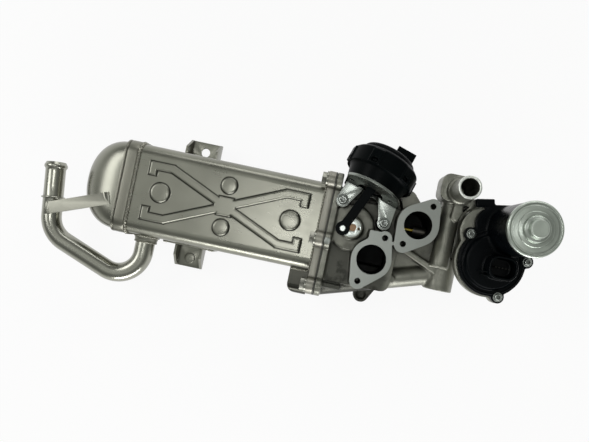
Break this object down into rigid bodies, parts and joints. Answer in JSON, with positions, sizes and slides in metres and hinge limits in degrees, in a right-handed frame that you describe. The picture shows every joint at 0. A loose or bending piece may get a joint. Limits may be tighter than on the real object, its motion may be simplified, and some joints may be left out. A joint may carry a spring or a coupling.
{
  "type": "egr cooler",
  "caption": "Exhaust gas recirculation cooler: stainless core with pressed cross and bent coolant pipe, cast housing with two gas ports, vacuum bypass actuator and motor-driven valve.",
  "frame": {"origin": "centre of the gas inlet bore on its machined face", "axes": "+Z out of the machined gas faces, +X along the cooler core towards the valve motor, +Y towards the vacuum canister"},
  "size_m": [0.4091, 0.1555, 0.1245],
  "materials": {
    "stainless": "satin drawn stainless sheet",
    "weld_band": "satin stainless with weld",
    "pipe": "polished stainless tube",
    "steel_flange": "machined steel",
    "gasket": "sheet metal gasket",
    "cast_aluminium": "matte die casting",
    "zinc": "bright zinc plate",
    "bronze": "turned bronze",
    "black_plastic": "matte moulded",
    "cover_plastic": "satin moulded",
    "motor_zinc": "zinc-plated drawn steel",
    "rubber": "matte",
    "gear_plastic": "moulded",
    "steel": "turned steel",
    "magnet": "ferrite",
    "winding": "copper winding on laminations"
  },
  "bodies": {
    "housing": {"shell_front": "stainless", "shell_rear": "stainless", "end_band": "weld_band", "end_tank": "stainless", "rear_header": "stainless", "front_header": "stainless", "gas_tubes": "stainless", "cooler_flange": "steel_flange", "coolant_pipe": "pipe", "pipe_ferrule": "weld_band", "pipe_strap": "stainless", "upper_bracket": "stainless", "lower_bracket": "stainless", "coolant_pocket": "stainless", "flange_gasket": "gasket", "flange_bolts": "zinc", "valve_housing": "cast_aluminium", "shaft_bush": "bronze", "actuator_bracket": "zinc", "bracket_screws": "zinc", "vacuum_can": "black_plastic", "vacuum_cap": "black_plastic", "diaphragm": "rubber", "vacuum_spring": "steel", "gear_case": "cast_aluminium", "case_bolts": "zinc", "cover_seal": "rubber", "gear_cover": "cover_plastic", "cover_screws": "zinc", "connector_pins": "bronze", "motor_can": "motor_zinc", "motor_end_plate": "steel", "motor_magnets": "magnet", "idler_pin": "steel", "output_pin": "steel", "valve_seat": "steel", "stem_guide": "steel", "valve_spring": "steel"},
    "bypass": {"bypass_shaft": "bronze", "bypass_flap": "steel", "bypass_lever": "zinc", "lever_pin": "zinc"},
    "link": {"link_rod": "black_plastic"},
    "piston": {"piston_plate": "steel"},
    "rotor": {"motor_armature": "winding", "motor_shaft": "steel", "motor_pinion": "bronze"},
    "idler": {"idler_gear": "gear_plastic"},
    "crank": {"output_gear": "gear_plastic", "crank_roller": "gear_plastic"},
    "valve": {"valve_stem": "bronze", "valve_disc": "steel", "stem_yoke": "steel"}
  },
  "joints": [
    {"name": "bypass_hinge", "type": "hinge", "parent": "housing", "child": "bypass", "pos_m": [-0.0198, 0.0214, 0], "axis": [0, 0, 1], "range_deg": [-65, 0], "stiffness_Nm_per_rad": 0.1},
    {"name": "link_hinge", "type": "hinge", "parent": "bypass", "child": "link", "pos_m": [-0.02677, 0.01922, -0.004], "axis": [0, 0, 1], "range_deg": [0, 65]},
    {"name": "piston_slide", "type": "slide", "parent": "housing", "child": "piston", "axis": [0.2952, 0.9362, -0.1908], "range_m": [0, 0.0077], "deforming": ["vacuum_spring", "diaphragm"]},
    {"name": "rotor_hinge", "type": "hinge", "parent": "housing", "child": "rotor", "pos_m": [0.106, 0.0453, 0], "axis": [0, 0, 1], "range_deg": [0, 545.68]},
    {"name": "idler_hinge", "type": "hinge", "parent": "housing", "child": "idler", "pos_m": [0.10653, 0.03306, -0.015], "axis": [0, 0, 1], "range_deg": [-190, 0]},
    {"name": "crank_hinge", "type": "hinge", "parent": "housing", "child": "crank", "pos_m": [0.09, 0.023, -0.02], "axis": [0, 0, 1], "range_deg": [0, 50.1]},
    {"name": "valve_slide", "type": "slide", "parent": "housing", "child": "valve", "axis": [1, 0, 0], "range_m": [-0.00677, 0], "deforming": ["valve_spring"]}
  ],
  "couplings": [
    {"joint": "link_hinge", "follows": "bypass_hinge", "ratio": -1},
    {"joint": "piston_slide", "follows": "bypass_hinge", "m_per_rad": -0.0067818},
    {"joint": "idler_hinge", "follows": "rotor_hinge", "ratio": -0.34615},
    {"joint": "crank_hinge", "follows": "rotor_hinge", "ratio": 0.091629},
    {"joint": "valve_slide", "follows": "rotor_hinge", "m_per_rad": -0.00070999}
  ]
}
